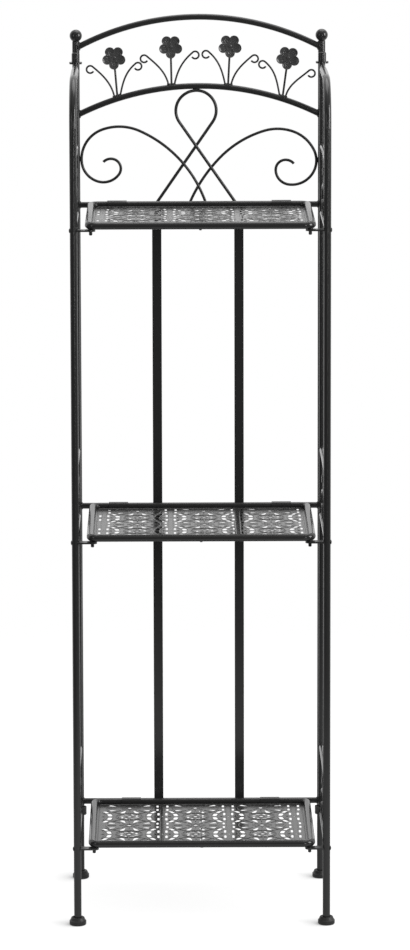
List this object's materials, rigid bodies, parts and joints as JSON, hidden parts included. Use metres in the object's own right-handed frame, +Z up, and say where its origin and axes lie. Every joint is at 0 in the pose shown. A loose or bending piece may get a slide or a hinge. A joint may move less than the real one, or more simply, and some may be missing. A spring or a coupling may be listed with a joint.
{
  "type": "bakers rack",
  "caption": "Folding metal bakers rack with an arched, flowered back, scrolled side frames and pierced shelves that each swing up on their back rail",
  "frame": {"origin": "on the floor at the centre of the bounding box, midway between the four feet", "axes": "+X to the right seen from the front, the open front faces -Y, +Z up"},
  "size_m": [0.473, 0.335, 1.6],
  "materials": {
    "black_coat": "semi-gloss black powder coat over steel tube, bar and wire",
    "sheet_coat": "semi-gloss black powder coat over stamped, pierced steel sheet",
    "pin_steel": "black coated steel pins, worn a little smoother",
    "foot_plastic": "moulded black plastic with a fine satin texture"
  },
  "bodies": {
    "frame": {"back_post_left": "black_coat", "ball_finial_left": "black_coat", "foot_back_left": "foot_plastic", "foot_front_left": "foot_plastic", "back_post_right": "black_coat", "ball_finial_right": "black_coat", "foot_back_right": "foot_plastic", "foot_front_right": "foot_plastic", "top_arch": "black_coat", "lower_arch": "black_coat", "crossbar_top": "black_coat", "crossbar_middle": "black_coat", "crossbar_bottom": "black_coat", "centre_bar_left": "black_coat", "centre_bar_right": "black_coat", "teardrop_loop": "black_coat", "scroll_left": "black_coat", "scroll_right": "black_coat", "flower_head_1": "black_coat", "flower_stem_1": "black_coat", "tendril_pair_1": "black_coat", "flower_head_2": "black_coat", "flower_stem_2": "black_coat", "tendril_pair_2": "black_coat", "flower_head_3": "black_coat", "flower_stem_3": "black_coat", "tendril_pair_3": "black_coat", "flower_head_4": "black_coat", "flower_stem_4": "black_coat", "tendril_pair_4": "black_coat", "hinge_pins": "pin_steel", "hinge_knuckles_left": "black_coat", "front_post_left": "black_coat", "side_stile_left": "black_coat", "upper_rungs_left": "black_coat", "lower_rungs_left": "black_coat", "side_scrolls_left": "black_coat", "shelf_tabs_left": "black_coat", "hinge_knuckles_right": "black_coat", "front_post_right": "black_coat", "side_stile_right": "black_coat", "upper_rungs_right": "black_coat", "lower_rungs_right": "black_coat", "side_scrolls_right": "black_coat", "shelf_tabs_right": "black_coat", "shelf_clips_top": "black_coat", "shelf_clips_middle": "black_coat", "shelf_clips_bottom": "black_coat"},
    "top_shelf": {"shelf_frame_top": "black_coat", "shelf_panel_top": "sheet_coat", "shelf_rib_top": "black_coat", "shelf_pins_top": "pin_steel"},
    "middle_shelf": {"shelf_frame_middle": "black_coat", "shelf_panel_middle": "sheet_coat", "shelf_rib_middle": "black_coat", "shelf_pins_middle": "pin_steel"},
    "bottom_shelf": {"shelf_frame_bottom": "black_coat", "shelf_panel_bottom": "sheet_coat", "shelf_rib_bottom": "black_coat", "shelf_pins_bottom": "pin_steel"}
  },
  "joints": [
    {"name": "top_shelf_hinge", "type": "hinge", "parent": "frame", "child": "top_shelf", "pos_m": [0, 0.13979, 1.2555], "axis": [-1, 0, 0], "range_deg": [0, 90]},
    {"name": "middle_shelf_hinge", "type": "hinge", "parent": "frame", "child": "middle_shelf", "pos_m": [0, 0.13979, 0.701], "axis": [-1, 0, 0], "range_deg": [0, 90]},
    {"name": "bottom_shelf_hinge", "type": "hinge", "parent": "frame", "child": "bottom_shelf", "pos_m": [0, 0.13979, 0.1465], "axis": [-1, 0, 0], "range_deg": [0, 90]}
  ]
}
